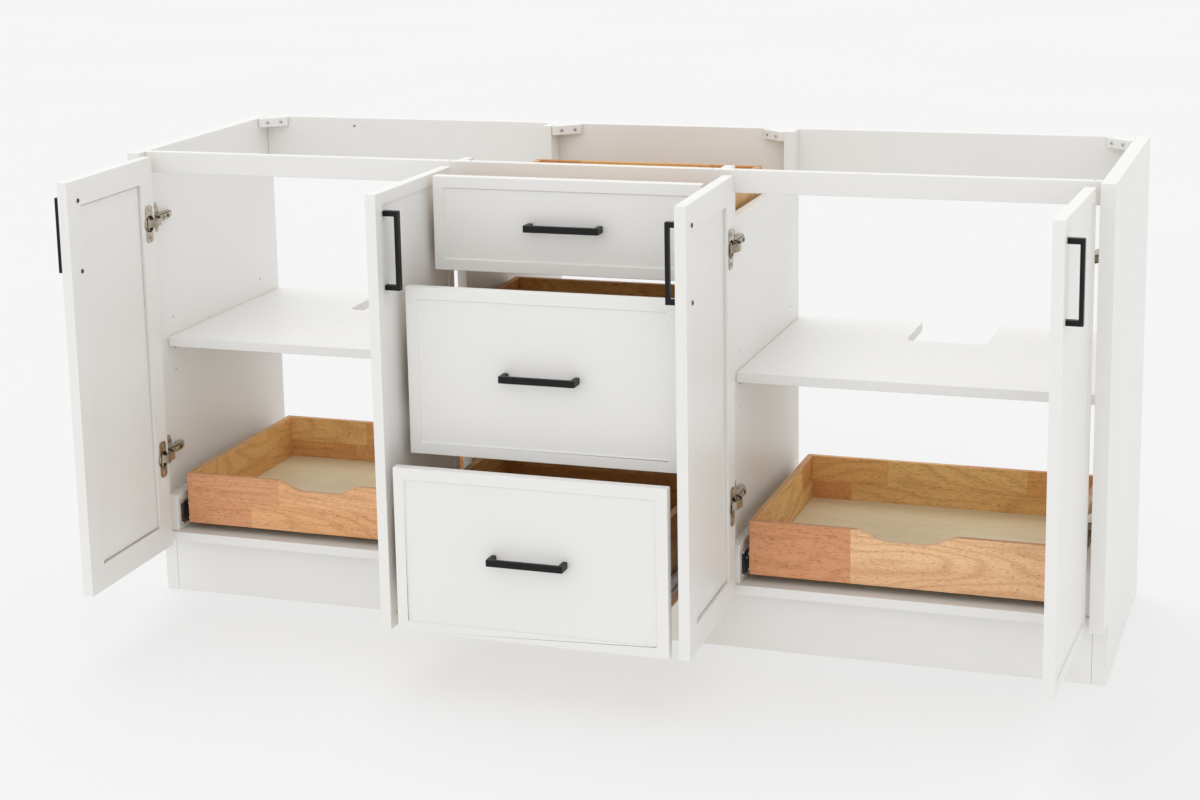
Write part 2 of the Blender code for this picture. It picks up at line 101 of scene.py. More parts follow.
# ---------------------------------------------------------------- material graph
class Finish:
    """A material under construction: each method adds nodes and gives back an output."""

    def __init__(self, name, roughness, metallic=0.0):
        self.mat = bpy.data.materials.new(name)
        self.mat.use_nodes = True
        self.tree = self.mat.node_tree
        self.shader = self.tree.nodes["Principled BSDF"]
        self.shader.inputs["Roughness"].default_value = roughness
        self.shader.inputs["Metallic"].default_value = metallic
        self.place = self.node("ShaderNodeTexCoord").outputs["Object"]

    def node(self, kind, settings=None, inputs=None):
        made = self.tree.nodes.new(kind)
        for key, value in (settings or {}).items():
            setattr(made, key, value)
        for key, value in (inputs or {}).items():
            self.feed(made.inputs[key], value)
        return made

    def feed(self, socket, value):
        if isinstance(value, bpy.types.NodeSocket):
            self.tree.links.new(value, socket)
        else:
            socket.default_value = value

    def math(self, operation, a, b=0.0, c=0.0):
        return self.node("ShaderNodeMath", {"operation": operation}, {0: a, 1: b, 2: c}).outputs[0]

    def times(self, a, b):
        return self.math("MULTIPLY", a, b)

    def split(self, vector):
        made = self.node("ShaderNodeSeparateXYZ", inputs={0: vector})
        return {"X": made.outputs[0], "Y": made.outputs[1], "Z": made.outputs[2]}

    def join(self, x, y, z):
        return self.node("ShaderNodeCombineXYZ", inputs={0: x, 1: y, 2: z}).outputs[0]

    def stretched(self, x, y, z):
        """The place with each axis scaled, for grain that runs one way."""
        part = self.split(self.place)
        return self.join(self.times(part["X"], x), self.times(part["Y"], y), self.times(part["Z"], z))

    def noise(self, vector, scale, detail=2.0, rough=0.5, distortion=0.0):
        return self.node("ShaderNodeTexNoise", inputs={
            "Vector": vector, "Scale": scale, "Detail": detail, "Roughness": rough,
            "Distortion": distortion,
        }).outputs[0]

    def chance(self, vector):
        return self.node("ShaderNodeTexWhiteNoise", {"noise_dimensions": "3D"}, {"Vector": vector}).outputs

    def spread(self, value, lo, hi, to_lo=0.0, to_hi=1.0):
        return self.node("ShaderNodeMapRange", {"clamp": True}, {
            "Value": value, "From Min": lo, "From Max": hi, "To Min": to_lo, "To Max": to_hi,
        }).outputs[0]

    def mix(self, factor, a, b):
        made = self.node("ShaderNodeMix", {"data_type": "RGBA"})
        self.feed(made.inputs[0], factor)
        for index, colour in ((6, a), (7, b)):
            self.feed(made.inputs[index], (*colour, 1.0) if isinstance(colour, tuple) else colour)
        return made.outputs[2]

    def bump(self, height, strength, distance):
        return self.node("ShaderNodeBump", inputs={
            "Height": height, "Strength": strength, "Distance": distance,
        }).outputs[0]

    def set(self, **sockets):
        for key, value in sockets.items():
            self.feed(self.shader.inputs[key.replace("_", " ")], value)
        return self.mat


def painted_board():
    """Sprayed satin paint with a faint orange peel, and painted shade: a breath of cream in nooks where
    boards meet, drawn by an occlusion mask.
    """
    f = Finish("painted_board", 0.36)
    cloud = f.noise(f.place, 2.2, 3.0)
    base = f.mix(f.spread(cloud, 0.35, 0.65), (0.802, 0.795, 0.772), (0.818, 0.812, 0.792))
    # painted shade: the occlusion mask turns the paint cream in corners and recesses, where shade falls
    painted_nook_shade = f.node("ShaderNodeAmbientOcclusion", {"samples": 6}, {"Distance": 0.040}).outputs["AO"]
    colour = f.mix(f.spread(painted_nook_shade, 0.10, 0.75, 0.75, 0.0), base, (0.800, 0.765, 0.690))
    peel = f.noise(f.place, 620.0, 1.0)
    wave = f.noise(f.place, 75.0, 2.0)
    height = f.math("MULTIPLY_ADD", wave, 0.2, peel)
    return f.set(
        Base_Color=colour, Roughness=f.spread(wave, 0.3, 0.7, 0.33, 0.42), Specular_IOR_Level=0.34,
        Normal=f.bump(height, 0.05, 0.0004),
    )


def jointed_wood(name, along, stave, base_z, length, seed, shade, blush):
    """Rubberwood staves glued side by side and end to end under clear lacquer.

    along: axis the grain runs on; stave: height of one row; length: usual stave length;
    blush: how pink the wood is, against golden; shade: factor on every colour, painted shade that darkens
    the drawer boxes sitting inside the cabinet.
    """
    f = Finish(name, 0.36)
    part = f.split(f.place)
    run = part[along]
    across = f.math("SUBTRACT", part["Z"], base_z)
    depth = part["Y" if along == "X" else "X"]
    rows = f.math("DIVIDE", across, stave)
    row = f.math("FLOOR", rows)
    row_luck = f.chance(f.join(row, seed * 3.7, 1.0))[0]
    slid = f.math("ADD", f.math("DIVIDE", run, length), f.times(row_luck, 7.0))
    number = f.math("FLOOR", slid)
    luck = f.chance(f.join(number, row, seed))
    tone, turn = luck[0], luck[1]
    cast = f.node("ShaderNodeVectorMath", {"operation": "MULTIPLY"}, {0: turn, 1: (9.0, 9.0, 9.0)})
    shift = f.split(cast.outputs[0])

    def fibre(stretch, cross, detail, rough=0.5, distortion=0.0):
        spot = f.join(
            f.math("MULTIPLY_ADD", run, stretch, shift["X"]),
            f.math("MULTIPLY_ADD", across, cross, shift["Y"]),
            f.math("MULTIPLY_ADD", depth, cross, shift["Z"]),
        )
        return f.noise(spot, 1.0, detail, rough, distortion)

    def joint_gap(count, size):
        """Distance to the nearest joint between staves of this size."""
        past = f.math("SUBTRACT", f.math("FRACT", f.math("ADD", count, 0.5)), 0.5)
        return f.times(f.math("ABSOLUTE", past), size)

    slope = fibre(1.9, 7.0, 2.0, 0.35, 0.15)
    rings = f.math("SINE", f.times(slope, f.spread(tone, 0.0, 1.0, 95.0, 150.0)))
    rings = f.math("POWER", f.spread(rings, -1.0, 1.0), 3.2)
    streak = fibre(3.5, 90.0, 3.0, 0.6)
    fine = fibre(24.0, 520.0, 2.0, 0.6)
    pores = f.spread(fibre(110.0, 760.0, 1.0), 0.60, 0.68)
    flush = fibre(2.0, 14.0, 2.0)
    ends_and_rows = f.math("MINIMUM", joint_gap(slid, length), joint_gap(rows, stave))
    glue = f.spread(ends_and_rows, 0.0002, 0.0006, 0.45, 0.0)

    pale = (0.930 * shade, 0.615 * shade, 0.355 * shade * blush)
    honey = (0.830 * shade, 0.445 * shade, 0.215 * shade * blush)
    rose = (0.700 * shade, 0.315 * shade, 0.160 * shade * blush)
    dark = (0.500 * shade, 0.205 * shade, 0.062 * shade)
    pore = (0.20 * shade, 0.085 * shade, 0.03 * shade)
    body = f.mix(f.spread(tone, 0.15, 0.85), pale, honey)
    for amount, tint in (
        (f.times(f.spread(f.split(turn)["Y"], 0.50, 0.80), 0.85), rose),
        (f.times(f.spread(flush, 0.45, 0.75), 0.35), rose),
        (f.times(rings, 0.30), dark),
        (f.times(f.spread(streak, 0.48, 0.80), 0.30), dark),
        (f.times(f.spread(fine, 0.50, 0.80), 0.26), dark),
        (f.times(pores, 0.55), pore),
        (glue, dark),
    ):
        body = f.mix(amount, body, tint)
    height = f.math("SUBTRACT", f.times(fine, 0.5), f.math("ADD", pores, f.times(glue, 0.8)))
    return f.set(
        Base_Color=body, Roughness=f.spread(streak, 0.3, 0.8, 0.36, 0.50), Specular_IOR_Level=0.26,
        Normal=f.bump(height, 0.22, 0.0004),
    )


def birch_ply():
    """Pale rotary-cut face veneer with soft flame and fine pores."""
    f = Finish("birch_ply", 0.44)
    flame = f.noise(f.stretched(3.0, 14.0, 1.0), 1.0, 2.0, 0.5, 0.6)
    rings = f.math("SINE", f.times(flame, 46.0))
    fine = f.noise(f.stretched(30.0, 420.0, 1.0), 1.0, 3.0, 0.6)
    body = f.mix(f.spread(flame, 0.3, 0.7), (0.870, 0.775, 0.565), (0.815, 0.695, 0.460))
    body = f.mix(f.times(f.spread(rings, -1.0, 1.0), 0.16), body, (0.640, 0.480, 0.280))
    body = f.mix(f.times(f.spread(fine, 0.50, 0.80), 0.22), body, (0.58, 0.42, 0.24))
    return f.set(
        Base_Color=body, Roughness=f.spread(fine, 0.3, 0.8, 0.40, 0.52), Normal=f.bump(fine, 0.12, 0.0003),
    )


def black_powder_coat():
    """Near-black powder coat with a fine grit."""
    f = Finish("black_powder_coat", 0.40)
    grit = f.noise(f.place, 1500.0, 2.0)
    body = f.mix(f.spread(grit, 0.3, 0.7), (0.0030, 0.0030, 0.0034), (0.0062, 0.0062, 0.0070))
    return f.set(
        Base_Color=body, Specular_IOR_Level=0.26, Roughness=f.spread(grit, 0.3, 0.7, 0.36, 0.48),
        Normal=f.bump(grit, 0.10, 0.0003),
    )


def plated_steel(name, low, high, roughness, brush):
    """Plated sheet steel with a fine rolled grain and faint stains."""
    f = Finish(name, roughness, 1.0)
    grain = f.noise(f.stretched(*brush), 1.0, 3.0, 0.6)
    stain = f.noise(f.place, 60.0, 3.0)
    body = f.mix(f.spread(stain, 0.3, 0.7), low, high)
    return f.set(
        Base_Color=body, Roughness=f.spread(grain, 0.25, 0.75, roughness - 0.06, roughness + 0.08),
        Normal=f.bump(grain, 0.12, 0.0003),
    )


PAINT = painted_board()
PLY = birch_ply()
BLACK = black_powder_coat()
NICKEL = plated_steel(
    "nickel_plate", (0.34, 0.295, 0.235), (0.52, 0.46, 0.375), 0.24, (300.0, 300.0, 900.0))
ZINC = plated_steel(
    "zinc_plate", (0.52, 0.53, 0.54), (0.66, 0.67, 0.68), 0.33, (900.0, 40.0, 900.0))
BRASS = plated_steel(
    "dull_brass_plate", (0.085, 0.072, 0.042), (0.150, 0.125, 0.075), 0.40, (400.0, 400.0, 400.0))


# ---------------------------------------------------------------- making pieces
def finish_object(obj, body, finish, replaces=()):
    """Gives a finished mesh its finish, its body and the nodes it stands for."""
    obj.data.materials.clear()
    obj.data.materials.append(finish)
    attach(obj, body)
    if replaces:
        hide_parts(*replaces)
    return obj


def mesh_object(name, bm):
    mesh = bpy.data.meshes.new(name)
    bm.to_mesh(mesh)
    bm.free()
    obj = bpy.data.objects.new(name, mesh)
    bpy.context.scene.collection.objects.link(obj)
    return obj


def worked_mesh(obj):
    """The object's mesh with its modifiers worked in."""
    bpy.context.view_layer.update()
    return bpy.data.meshes.new_from_object(obj.evaluated_get(bpy.context.evaluated_depsgraph_get()))


def ease_edges(obj, width, segments=2, angle=35.0, smooth=True):
    """Rounds the arrises; smooth shades the rounds as one curve."""
    mod = obj.modifiers.new("eased_edges", "BEVEL")
    mod.width = width
    mod.segments = segments
    mod.limit_method = "ANGLE"
    mod.angle_limit = math.radians(angle)
    mod.harden_normals = smooth
    mod.miter_outer = "MITER_ARC"
    mod.use_clamp_overlap = True
    for face in obj.data.polygons:
        face.use_smooth = smooth
    return obj


def carve(obj, tool):
    """Takes the tool's shape out of a piece for good."""
    mod = obj.modifiers.new("carve", "BOOLEAN")
    mod.object = tool
    mod.solver = "EXACT"
    carved = worked_mesh(obj)
    obj.modifiers.clear()
    obj.data = carved
    bpy.data.objects.remove(tool)


def copy_of_node(name, node):
    """A merged copy of a frame node's mesh, with its flat areas made whole again."""
    source = frame["nodes"][node].data
    bm = bmesh.new()
    points = [bm.verts.new(v.co) for v in source.vertices]
    for face in source.polygons:
        bm.faces.new([points[k] for k in face.vertices])
    bmesh.ops.remove_doubles(bm, verts=bm.verts, dist=0.00001)
    bmesh.ops.dissolve_limit(bm, angle_limit=math.radians(1.0), verts=bm.verts, edges=bm.edges)
    bmesh.ops.recalc_face_normals(bm, faces=bm.faces)
    return mesh_object(name, bm)


def eased_copy(name, node, body, finish, width, segments=2):
    """A frame node's own shape with eased arrises, in the node's place."""
    copy = ease_edges(copy_of_node(name, node), width, segments)
    finish_object(copy, body, finish, (node,))


def box_into(bm, lo, hi):
    corners = [
        bm.verts.new((x, y, z)) for x in (lo[0], hi[0]) for y in (lo[1], hi[1]) for z in (lo[2], hi[2])
    ]
    for side in ((0, 1, 3, 2), (4, 6, 7, 5), (0, 4, 5, 1), (2, 3, 7, 6), (0, 2, 6, 4), (1, 5, 7, 3)):
        bm.faces.new([corners[k] for k in side])


def skin_rings(bm, rings):
    """Walls between neighbouring rings of points, and a cap on each end."""
    faces = []
    for low, high in zip(rings, rings[1:]):
        for k in range(len(low)):
            n = (k + 1) % len(low)
            faces.append(bm.faces.new((low[k], low[n], high[n], high[k])))
    faces += [bm.faces.new(rings[0][::-1]), bm.faces.new(rings[-1])]
    bmesh.ops.recalc_face_normals(bm, faces=faces)


def prism_into(bm, outline, axis, lo, hi):
    """Pushes a flat outline along an axis; the outline is in the other two axes, x, y, z order."""
    def point(a, b, t):
        return {"x": (t, a, b), "y": (a, t, b), "z": (a, b, t)}[axis]

    skin_rings(bm, [[bm.verts.new(point(a, b, t)) for a, b in outline] for t in (lo, hi)])


def ring_point(k, sides, radius, height):
    """Corner k of a level ring with this many sides."""
    turn = 2 * math.pi * k / sides
    return Vector((radius * math.cos(turn), radius * math.sin(turn), height))


def lathe_into(bm, profile, centre, facing, sides):
    """Turns (radius, height) pairs about the facing direction at centre."""
    turn = Vector(facing).to_track_quat("Z", "Y").to_matrix()
    skin_rings(bm, [
        [bm.verts.new(Vector(centre) + turn @ ring_point(k, sides, *pair)) for k in range(sides)]
        for pair in profile
    ])


# ---------------------------------------------------------------- screws, laid out by nodes
def screw_head():
    """Pan head with a four-lobed recess, pointing along +Z, one unit wide."""
    bm = bmesh.new()
    sides = 16
    rings = []
    for radius, height, lobes in (
        (0.50, -0.04, 0.0), (0.50, 0.04, 0.0), (0.43, 0.14, 0.0), (0.30, 0.19, 0.0),
        (0.20, 0.19, 0.45), (0.13, 0.02, 0.45),
    ):
        reaches = [radius * (1 + lobes * math.cos(8 * math.pi * k / sides)) for k in range(sides)]
        rings.append([bm.verts.new(ring_point(k, sides, reach, height)) for k, reach in enumerate(reaches)])
    skin_rings(bm, rings)
    return mesh_object("screw_head_pattern", bm)


def screw_tree():
    """Lays a screw on every mark, turned to its facing and spun by chance."""
    tree = bpy.data.node_groups.new("screws_on_marks", "GeometryNodeTree")
    face = tree.interface
    face.new_socket("Marks", in_out="INPUT", socket_type="NodeSocketGeometry")
    face.new_socket("Screw", in_out="INPUT", socket_type="NodeSocketObject")
    face.new_socket("Head Width", in_out="INPUT", socket_type="NodeSocketFloat")
    face.new_socket("Finish", in_out="INPUT", socket_type="NodeSocketMaterial")
    face.new_socket("Screws", in_out="OUTPUT", socket_type="NodeSocketGeometry")
    add = tree.nodes.new
    entry, out = add("NodeGroupInput"), add("NodeGroupOutput")
    info, facing = add("GeometryNodeObjectInfo"), add("GeometryNodeInputNamedAttribute")
    facing.data_type = "FLOAT_VECTOR"
    facing.inputs["Name"].default_value = "facing"
    align = add("FunctionNodeAlignRotationToVector")
    align.axis = "Z"
    spin = add("FunctionNodeRotateRotation")
    spin.rotation_space = "LOCAL"
    luck = add("FunctionNodeRandomValue")
    luck.data_type = "FLOAT"
    luck.inputs["Min"].default_value = 0.0
    luck.inputs["Max"].default_value = 6.283
    luck.inputs["Seed"].default_value = 5
    twist = add("ShaderNodeCombineXYZ")
    to_turn = add("FunctionNodeEulerToRotation")
    place = add("GeometryNodeInstanceOnPoints")
    real = add("GeometryNodeRealizeInstances")
    coat = add("GeometryNodeSetMaterial")
    link = tree.links.new
    link(entry.outputs["Marks"], place.inputs["Points"])
    link(entry.outputs["Screw"], info.inputs["Object"])
    link(info.outputs["Geometry"], place.inputs["Instance"])
    link(facing.outputs["Attribute"], align.inputs["Vector"])
    link([o for o in luck.outputs if o.enabled and o.type == "VALUE"][0], twist.inputs["Z"])
    link(twist.outputs[0], to_turn.inputs[0])
    link(align.outputs["Rotation"], spin.inputs["Rotation"])
    link(to_turn.outputs[0], spin.inputs["Rotate By"])
    link(spin.outputs["Rotation"], place.inputs["Rotation"])
    link(entry.outputs["Head Width"], place.inputs["Scale"])
    link(place.outputs["Instances"], real.inputs["Geometry"])
    link(real.outputs["Geometry"], coat.inputs["Geometry"])
    link(entry.outputs["Finish"], coat.inputs["Material"])
    link(coat.outputs["Geometry"], out.inputs["Screws"])
    return tree


SCREW_TREE = screw_tree()
SCREW = screw_head()


def screws(name, marks, width, body, finish):
    """marks: (place, facing) pairs. One mesh of heads for one body."""
    mesh = bpy.data.meshes.new(name + "_marks")
    mesh.from_pydata([tuple(place) for place, facing in marks], [], [])
    lay = mesh.attributes.new("facing", "FLOAT_VECTOR", "POINT")
    for item, (place, facing) in zip(lay.data, marks):
        item.vector = facing
    layout = bpy.data.objects.new(name + "_layout", mesh)
    bpy.context.scene.collection.objects.link(layout)
    mod = layout.modifiers.new("screws", "NODES")
    mod.node_group = SCREW_TREE
    ids = {item.name: item.identifier for item in SCREW_TREE.interface.items_tree if item.in_out == "INPUT"}
    mod[ids["Screw"]] = SCREW
    mod[ids["Head Width"]] = width
    mod[ids["Finish"]] = finish
    made = worked_mesh(layout)
    made.name = name
    obj = bpy.data.objects.new(name, made)
    bpy.context.scene.collection.objects.link(obj)
    bpy.data.objects.remove(layout)
    finish_object(obj, body, finish)


# ---------------------------------------------------------------- case
def case_boards():
    for node in (
        "side_panel_left", "side_panel_right", "divider_left", "divider_right", "deck_panel",
        "toe_kick_board", "front_top_rail", "back_bottom_rail", "shelf_left", "shelf_right",
        "tray_board_left_inner", "tray_board_left_outer", "tray_board_right_inner", "tray_board_right_outer",
    ):
        eased_copy("board_" + node, node, "case", PAINT, BOARD_EASE)


def drilled_back_rail():
    """Back top rail with a countersunk wall-screw hole in the left bay."""
    hole_x, hole_down = -0.689, 0.0175
    countersink = ((0.0042, -0.002), (0.0042, 0.0), (0.0022, 0.003), (0.0022, 0.0215))
    rail = copy_of_node("board_back_top_rail", "back_top_rail")
    bm = bmesh.new()
    lathe_into(bm, countersink, (hole_x, BACK_RAIL_LO.y, BACK_RAIL_HI.z - hole_down), (0, 1, 0), 16)
    carve(rail, mesh_object("drill", bm))
    ease_edges(rail, BOARD_EASE, smooth=False)
    finish_object(rail, "case", PAINT, ("back_top_rail",))


def corner_blocks():
    """Blocks under the worktop, each with two screws through its slanted face."""
    run, side, thick, nose = 0.050, 0.042, 0.019, 0.008
    board_gap, rail_gap, top_gap = 0.0004, 0.0003, 0.0005
    y = BACK_RAIL_LO.y - rail_gap
    marks = []
    for name, board_x, s in (
        ("left", -INNER_X, 1), ("centre_left", -DIV_LO.x, 1),
        ("centre_right", DIV_LO.x, -1), ("right", INNER_X, -1),
    ):
        x = board_x + s * board_gap
        outline = [
            (x, y), (x, y - side), (x + s * nose, y - side), (x + s * run, y - nose), (x + s * run, y),
        ]
        bm = bmesh.new()
        prism_into(bm, outline, "z", TOP_Z - thick, TOP_Z - top_gap)
        block = ease_edges(mesh_object("corner_block_" + name, bm), 0.0012)
        finish_object(block, "case", PAINT)
        slant = Vector((s * (side - nose), -(run - nose), 0.0)).normalized()
        edge = Vector((s * (run - nose), side - nose, 0.0))
        start = Vector((x + s * nose, y - side, TOP_Z - thick / 2))
        marks += [(start + edge * t + slant * 0.0002, slant) for t in (0.24, 0.76)]
    screws("corner_block_screws", marks, 0.0075, "case", ZINC)


def rail_top_screws():
    """Screws let into the top of the front rail beside each upright."""
    lo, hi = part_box("front_top_rail")
    beside = 0.012
    marks = [
        (Vector((s * x, (lo.y + hi.y) / 2, TOP_Z - 0.0004)), (0, 0, 1))
        for s in (-1, 1) for x in (DIV_LO.x - beside, DIV_HI.x + beside, INNER_X - beside)
    ]
    screws("rail_top_screws", marks, 0.0060, "case", ZINC)


def shelf_pins(side, s):
    """Pins in their holes, each with a flat spoon under the shelf."""
    pin = (
        (0.0023, -0.008), (0.0023, 0.0), (0.0042, 0.0004), (0.0042, 0.0016), (0.0023, 0.0020),
        (0.0023, 0.0085), (0.0016, 0.0092),
    )
    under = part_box("shelf_" + side)[0].z
    bm = bmesh.new()
    for y in (FRONT_Y + 0.097, FRONT_Y + 0.476):
        for x, t in ((s * INNER_X, -s), (s * DIV_HI.x, s)):
            lathe_into(bm, pin, (x, y, under - 0.0050), (t, 0, 0), 16)
            lo_x, hi_x = sorted((x + t * 0.0019, x + t * 0.0095))
            box_into(bm, (lo_x, y - 0.0036, under - 0.0029), (hi_x, y + 0.0036, under - 0.0004))
    pins = ease_edges(mesh_object("shelf_pins_" + side, bm), 0.0004)
    finish_object(pins, "case", NICKEL)


# ---------------------------------------------------------------- drawers and trays
def board_piece(name, lo, hi, body, finish, replaces=(), ease=0.0014):
    bm = bmesh.new()
    box_into(bm, lo, hi)
    board = ease_edges(mesh_object(name, bm), ease, 3)
    finish_object(board, body, finish, replaces)


def scooped_front(name, lo, hi, body, finish, replaces):
    """Tray front with a long shallow finger scoop in its top edge."""
    half, drop, steps = 0.092, 0.019, 28
    shoulder = 0.62                       # share of each half over which the scoop deepens
    mid = (lo[0] + hi[0]) / 2
    outline = [(lo[0], lo[2]), (hi[0], lo[2]), (hi[0], hi[2])]
    for k in range(steps + 1):
        u = 1 - 2 * k / steps
        rise = min(1.0, (1 - abs(u)) / shoulder)
        outline.append((mid + u * half, hi[2] - drop * rise * rise * (3 - 2 * rise)))
    outline.append((lo[0], hi[2]))
    bm = bmesh.new()
    prism_into(bm, outline, "y", lo[1], hi[1])
    front = ease_edges(mesh_object(name, bm), 0.0016, 3, 50.0)
    finish_object(front, body, finish, replaces)


def box_woods(tag, base, seed, shade, front, back, side):
    """Woods of a box's front, back and sides, each given as (stave height, stave length)."""
    return [
        jointed_wood("%s_%s_wood" % (tag, place), along, stave, base, length, seed + step, shade, blush)
        for place, along, (stave, length), step, blush in (
            ("front", "X", front, 0.0, 1.0), ("back", "X", back, 1.3, 0.72), ("side", "Y", side, 2.6, 0.72),
        )
    ]


def wooden_box(node, body, woods, make_front):
    """Front, back and two sides butted together round a thin ply floor."""
    front_wood, back_wood, side_wood = woods
    (x0, y0, z0), (x1, y1, z1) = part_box(node)
    y_in, y_out = y0 + WALL + BUTT_GAP, y1 - WALL - BUTT_GAP
    floor_z = z0 + FLOOR_UP
    make_front(node + "_front", (x0, y0, z0), (x1, y0 + WALL, z1), body, front_wood, (node,))
    board_piece(node + "_back", (x0, y1 - WALL, z0), (x1, y1, z1), body, back_wood)
    for name, a, b in (("_side_left", x0, x0 + WALL), ("_side_right", x1 - WALL, x1)):
        board_piece(node + name, (a, y_in, z0), (b, y_out, z1), body, side_wood)
    floor_lo = (x0 + WALL + BUTT_GAP, y_in, floor_z)
    floor_hi = (x1 - WALL - BUTT_GAP, y_out, floor_z + FLOOR_THICK)
    board_piece(node + "_floor", floor_lo, floor_hi, body, PLY, ease=0.0003)


def side_trays():
    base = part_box("tray_left")[0].z
    for side, front, seed in (("left", (0.0505, 0.27), 5.0), ("right", (0.101, 0.52), 8.0)):
        node = "tray_" + side
        woods = box_woods(node, base, seed, 1.0, front, (0.0505, 0.27), (0.0505, 0.24))
        wooden_box(node, "pullout_tray_" + side, woods, scooped_front)


def drawers():
    for level, seed in zip(LEVELS, (12.0, 17.0, 23.0)):
        node, body = "drawer_box_" + level, "drawer_" + level
        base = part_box(node)[0].z
        # painted shade: 0.80 darkens the drawer boxes' wood for their place inside the cabinet
        woods = box_woods(body, base, seed, 0.80, (0.055, 0.30), (0.055, 0.26), (0.055, 0.25))
        wooden_box(node, body, woods, board_piece)
        eased_copy("front_" + level, "drawer_front_" + level, body, PAINT, 0.0014)


def bar_pull(name, node, body):
    eased_copy(name, node, body, BLACK, 0.0009, 3)


# ---------------------------------------------------------------- slides
def channel_outline(back, out, thick, web, lip, centre, half):
    """Section of a folded channel: its web against back, its lips turned out."""
    web_x, lip_x = back + out * web, back + out * thick
    low, high = centre - half, centre + half
    return [
        (back, low), (lip_x, low), (lip_x, low + lip), (web_x, low + lip),
        (web_x, high - lip), (lip_x, high - lip), (lip_x, high), (back, high),
    ]


def slide_pair(tag, box_node, box_face, out, body, thick):
    """Cabinet member from the frame, and two nested channels facing it on the box."""
    node = "slide_" + tag
    eased_copy("cabinet_member_" + tag, node, "case", ZINC, 0.0005)
    lo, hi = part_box(node)
    centre = (lo.z + hi.z) / 2
    face = lo.x if abs(lo.x - box_face) > abs(hi.x - box_face) else hi.x
    toward = 1 if face < box_face else -1
    marks = [
        (Vector((face + toward * 0.0017, y, centre)), (toward, 0, 0))
        for y in (lo.y + 0.037, lo.y + 0.225, hi.y - 0.040)
    ]
    screws("cabinet_member_screws_" + tag, marks, 0.0062, "case", ZINC)

    box_lo, box_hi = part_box(box_node)
    y0, y1 = box_lo.y + 0.004, box_hi.y - 0.003
    back = box_face + out * 0.0003
    outer = channel_outline(back, out, thick, thick * 0.27, 0.0032, centre, 0.0165)
    inner = channel_outline(
        back + out * thick * 0.29, out, thick * 0.65, thick * 0.23, 0.0020, centre, 0.0120)
    bm = bmesh.new()
    prism_into(bm, outer, "y", y0, y1)
    prism_into(bm, inner, "y", y0 + 0.006, y1 - 0.10)
    member = ease_edges(mesh_object("box_member_" + tag, bm), min(0.0005, thick * 0.09))
    finish_object(member, body, ZINC)


def drawer_slides():
    for level in LEVELS:
        node = "drawer_box_" + level
        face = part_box(node)[1].x
        for side, s in SIDES:
            slide_pair("%s_%s" % (level, side), node, s * face, s, "drawer_" + level, DRAWER_MEMBER)


def tray_slides():
    for side, s in SIDES:
        node = "tray_" + side
        lo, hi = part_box(node)
        inner, outer = (hi.x, lo.x) if s < 0 else (lo.x, hi.x)
        for place, face, out in (("inner", inner, -s), ("outer", outer, s)):
            slide_pair("%s_%s" % (node, place), node, face, out, "pullout_tray_" + side, TRAY_MEMBER)


# ---------------------------------------------------------------- doors and hinges
class Door:
    """One leaf: the way it faces, its hinge axis, and its turn from shut to open."""

    def __init__(self, tail, s):
        self.tail = tail
        self.s = s
        self.body = "leaf_" + tail
        joint = [j for j in frame["joints"] if j["child"] == self.body][0]
        self.pivot = Vector(joint["pos_m"])
        self.pivot.z = 0.0
        self.swing = Matrix.Translation(self.pivot) @ Matrix.Rotation(-s * DOOR_ANGLE, 4, "Z")
        self.facing = self.swing.to_3x3() @ Vector((0, 1, 0))


def grooved_leaf(door):
    """Leaf with a sunk panel on both faces and a shadow groove round the inner one."""
    node = "door_" + door.tail
    leaf = copy_of_node("leaf_board_" + door.tail, node)
    lo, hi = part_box(node)
    x0, x1 = sorted((-door.s * PIVOT_IN, door.s * (DOOR_WIDTH - PIVOT_IN)))
    panel = INNER_FACE - BACK_SINK
    rims = []
    for inset in (BACK_FRAME, BACK_FRAME + GROOVE_W):
        left, right, low, high = x0 + inset, x1 - inset, lo.z + inset, hi.z - inset
        rims.append([(left, low), (right, low), (right, high), (left, high)])
    bm = bmesh.new()
    wide, narrow = (
        [[bm.verts.new((x, y, z)) for x, z in rim] for y in (panel - GROOVE_D, panel + 0.004)]
        for rim in rims
    )
    for k in range(4):
        n = (k + 1) % 4
        bm.faces.new((wide[0][k], wide[0][n], wide[1][n], wide[1][k]))
        bm.faces.new((narrow[0][k], narrow[0][n], narrow[1][n], narrow[1][k]))
        for level in (0, 1):
            bm.faces.new((wide[level][k], wide[level][n], narrow[level][n], narrow[level][k]))
    bmesh.ops.recalc_face_normals(bm, faces=bm.faces)
    bmesh.ops.transform(bm, matrix=door.swing, verts=bm.verts)
    carve(leaf, mesh_object("groove", bm))
    finish_object(ease_edges(leaf, 0.0007, smooth=False), door.body, PAINT, (node,))


def pull_bolts(door):
    """Bolts of the pull, through the leaf, with their heads on the frame of its inner face."""
    lo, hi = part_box("pull_door_" + door.tail)
    x, middle = door.s * (DOOR_WIDTH - PIVOT_IN - PULL_EDGE), (lo.z + hi.z) / 2
    marks = [
        (door.swing @ Vector((x, INNER_FACE + 0.0003, middle + h)), door.facing)
        for h in (-PULL_POSTS / 2, PULL_POSTS / 2)
    ]
    screws("pull_bolts_" + door.tail, marks, 0.0085, door.body, BRASS)


